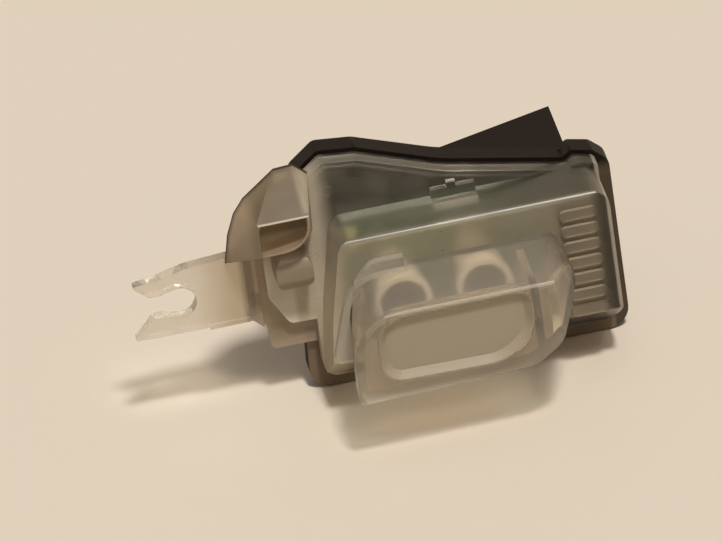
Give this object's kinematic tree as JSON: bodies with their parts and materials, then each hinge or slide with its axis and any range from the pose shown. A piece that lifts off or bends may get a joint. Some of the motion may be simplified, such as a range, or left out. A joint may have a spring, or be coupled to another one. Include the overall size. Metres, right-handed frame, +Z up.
{
  "type": "door handle light",
  "caption": "Small clear lamp module over a black housing, with a forked snap clip at one end, a frosted window on a raised light block, a side hood and a tilted connector socket.",
  "frame": {"origin": "centre of the round clip seat, half way through the clip's thickness", "axes": "+X along the housing's bottom edge, from the clip to the ribbed end; -Y the way the lamp shines; +Z up in the housing's plane"},
  "size_m": [0.0767, 0.042, 0.0422],
  "materials": {
    "black_moulding": "satin moulded, warm black",
    "clear_moulding": "clear moulded, slightly hazy",
    "clear_block": "clear moulded, polished",
    "frosted_window": "frosted moulded",
    "smoke_moulding": "clear moulded, smoky",
    "natural_moulding": "natural translucent moulding",
    "seal_bead": "soft bead",
    "board_green": "green solder mask on glass-fibre board",
    "white_moulding": "white moulded",
    "lamp_package": "white package with a pale yellow lens",
    "chip_body": "black moulded package",
    "ceramic_part": "brown ceramic",
    "tinned_pin": "tin-plated"
  },
  "bodies": {
    "root": {"rear_housing": "black_moulding", "front_cover": "clear_moulding", "light_block": "clear_block", "frosted_window": "frosted_window", "side_hood": "smoke_moulding", "side_light_pipe": "clear_block", "clip_arm": "natural_moulding", "perimeter_seal": "seal_bead", "circuit_board": "board_green", "reflector_left": "white_moulding", "reflector_right": "white_moulding", "led_left": "lamp_package", "led_right": "lamp_package", "led_side": "lamp_package", "driver_chip": "chip_body", "capacitor": "ceramic_part", "diode": "chip_body", "resistor_1": "chip_body", "resistor_2": "chip_body", "contact_pin_1": "tinned_pin", "contact_pin_2": "tinned_pin", "contact_pin_3": "tinned_pin"}
  },
  "joints": []
}
